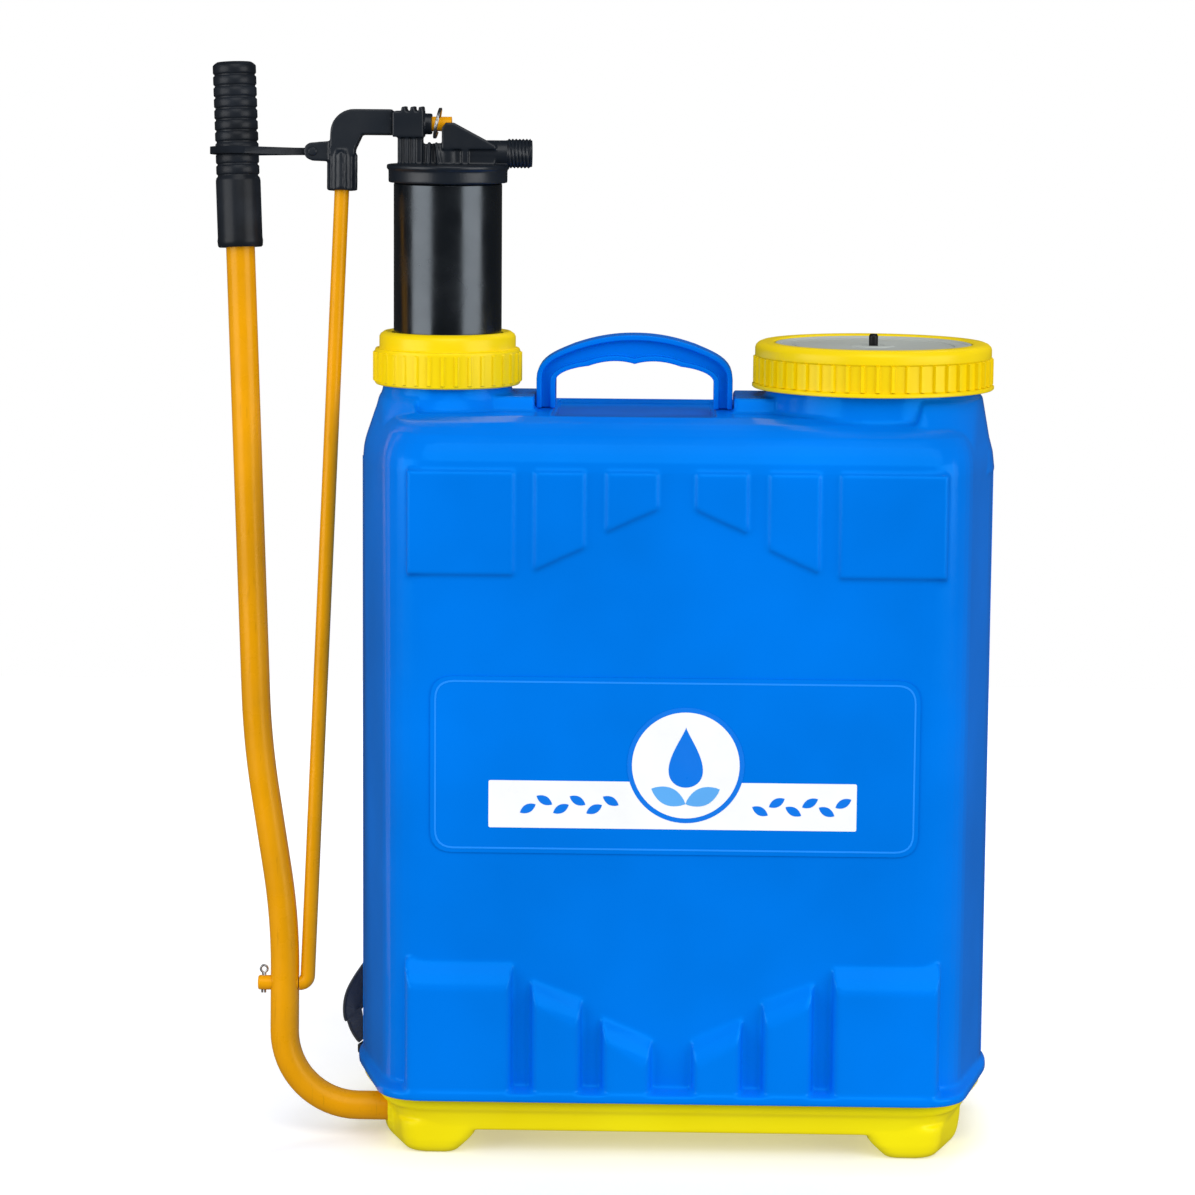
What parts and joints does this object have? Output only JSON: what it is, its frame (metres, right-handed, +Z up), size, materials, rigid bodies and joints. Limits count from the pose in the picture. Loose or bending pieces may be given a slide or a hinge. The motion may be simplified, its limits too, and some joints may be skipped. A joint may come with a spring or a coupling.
{
  "type": "knapsack sprayer",
  "caption": "Back-carried pump sprayer: upright moulded tank on a footed base, side hand lever linked to a rising air-chamber pump, screwed filler lid, top handle and shoulder straps.",
  "frame": {"origin": "centre of the whole object's box, on the floor under the feet", "axes": "+X to the right seen from the front (the filler side), +Y towards the wearer's back, +Z up"},
  "size_m": [0.4958, 0.2255, 0.6766],
  "materials": {
    "blue_plastic": "glossy blow-moulded polyethylene",
    "yellow_plastic": "semi-gloss moulded polypropylene",
    "lever_paint": "smooth amber powder coat over steel tube",
    "black_plastic": "satin moulded black plastic",
    "grip_rubber": "satin black rubber",
    "seal_rubber": "matt black rubber",
    "grey_plastic": "light grey moulded plastic",
    "natural_plastic": "uncoloured moulded plastic",
    "steel": "bright zinc-plated or stainless steel",
    "label_film": null,
    "webbing_fabric": "black woven webbing",
    "pad_fabric": "black padded fabric"
  },
  "bodies": {
    "root": {"tank": "blue_plastic", "carry_handle": "blue_plastic", "front_label": "label_film", "base": "yellow_plastic", "base_screw_1": "steel", "base_screw_2": "steel", "base_screw_3": "steel", "base_screw_4": "steel", "lever_bush_outer": "natural_plastic", "lever_bush_inner": "natural_plastic", "barrel_gasket": "seal_rubber", "pump_barrel": "natural_plastic", "suction_valve_seat": "black_plastic", "suction_strainer": "natural_plastic", "filler_strainer": "natural_plastic", "strap_bracket": "black_plastic", "bracket_screw_left": "steel", "bracket_screw_right": "steel", "strap_loop_left": "webbing_fabric", "shoulder_pad_left": "pad_fabric", "strap_buckle_left": "black_plastic", "strap_webbing_left": "webbing_fabric", "strap_hook_left": "black_plastic", "strap_loop_right": "webbing_fabric", "shoulder_pad_right": "pad_fabric", "strap_buckle_right": "black_plastic", "strap_webbing_right": "webbing_fabric", "strap_hook_right": "black_plastic"},
    "lever": {"lever_tube": "lever_paint", "lever_grip": "grip_rubber", "link_pin": "lever_paint", "link_split_pin": "steel", "shaft_washer": "steel", "shaft_split_pin": "steel"},
    "plunger": {"air_chamber": "black_plastic", "chamber_head": "black_plastic", "head_gasket": "seal_rubber", "dip_tube": "natural_plastic", "plunger_tube": "steel", "piston_body": "natural_plastic", "piston_cup": "seal_rubber", "delivery_cage": "black_plastic"},
    "rod": {"link_rod": "lever_paint", "rod_elbow_sleeve": "black_plastic", "ring_cotter": "steel", "keeper_pin": "steel"},
    "keeper": {"keeper_loop": "grip_rubber"},
    "suction_ball": {"suction_ball": "steel"},
    "delivery_ball": {"delivery_ball": "steel"},
    "collar_seal": {"collar_seal": "seal_rubber"},
    "collar_nut": {"pump_collar_nut": "yellow_plastic"},
    "lid": {"lid_disc": "grey_plastic", "lid_gasket": "seal_rubber"},
    "lid_ring": {"lid_ring": "yellow_plastic"},
    "vent": {"vent_valve": "seal_rubber"}
  },
  "joints": [
    {"name": "lever_swing", "type": "hinge", "parent": "root", "child": "lever", "pos_m": [-0.1435, -0.06175, 0.02], "axis": [-1, 0, 0], "range_deg": [0, 85]},
    {"name": "plunger_slide", "type": "slide", "parent": "root", "child": "plunger", "axis": [0, 0, 1], "range_m": [-0.0756, 0]},
    {"name": "rod_swing", "type": "hinge", "parent": "plunger", "child": "rod", "pos_m": [-0.1235, -0.01175, 0.638], "axis": [1, 0, 0], "range_deg": [0, 7.6]},
    {"name": "keeper_pivot", "type": "hinge", "parent": "rod", "child": "keeper", "pos_m": [-0.1837, -0.0132, 0.62026], "axis": [0, 0.9967, -0.0812], "range_deg": [-5, 5], "deforming": ["keeper_loop"]},
    {"name": "suction_ball_lift", "type": "slide", "parent": "root", "child": "suction_ball", "axis": [0, 0, 1], "range_m": [0, 0.004]},
    {"name": "delivery_ball_lift", "type": "slide", "parent": "plunger", "child": "delivery_ball", "axis": [0, 0, 1], "range_m": [0, 0.004]},
    {"name": "collar_lift", "type": "slide", "parent": "root", "child": "collar_seal", "axis": [0, 0, 1], "range_m": [0, 0.0126]},
    {"name": "collar_turn", "type": "hinge", "parent": "collar_seal", "child": "collar_nut", "pos_m": [-0.0992, -0.01175, 0.49], "axis": [0, 0, 1], "range_deg": [0, 900]},
    {"name": "lid_lift", "type": "slide", "parent": "root", "child": "lid", "axis": [0, 0, 1], "range_m": [0, 0.0151]},
    {"name": "lid_turn", "type": "hinge", "parent": "lid", "child": "lid_ring", "pos_m": [0.1689, -0.01175, 0.49], "axis": [0, 0, 1], "range_deg": [0, 1080]},
    {"name": "vent_travel", "type": "slide", "parent": "lid", "child": "vent", "axis": [0, 0, -1], "range_m": [0, 0.0012], "stiffness_N_per_m": 60}
  ],
  "couplings": [
    {"joint": "plunger_slide", "follows": "lever_swing", "m_per_rad": -0.050872},
    {"joint": "rod_swing", "follows": "lever_swing", "ratio": 0.089105},
    {"joint": "collar_lift", "follows": "collar_turn", "m_per_rad": 0.00079577},
    {"joint": "lid_lift", "follows": "lid_turn", "m_per_rad": 0.00079577}
  ]
}
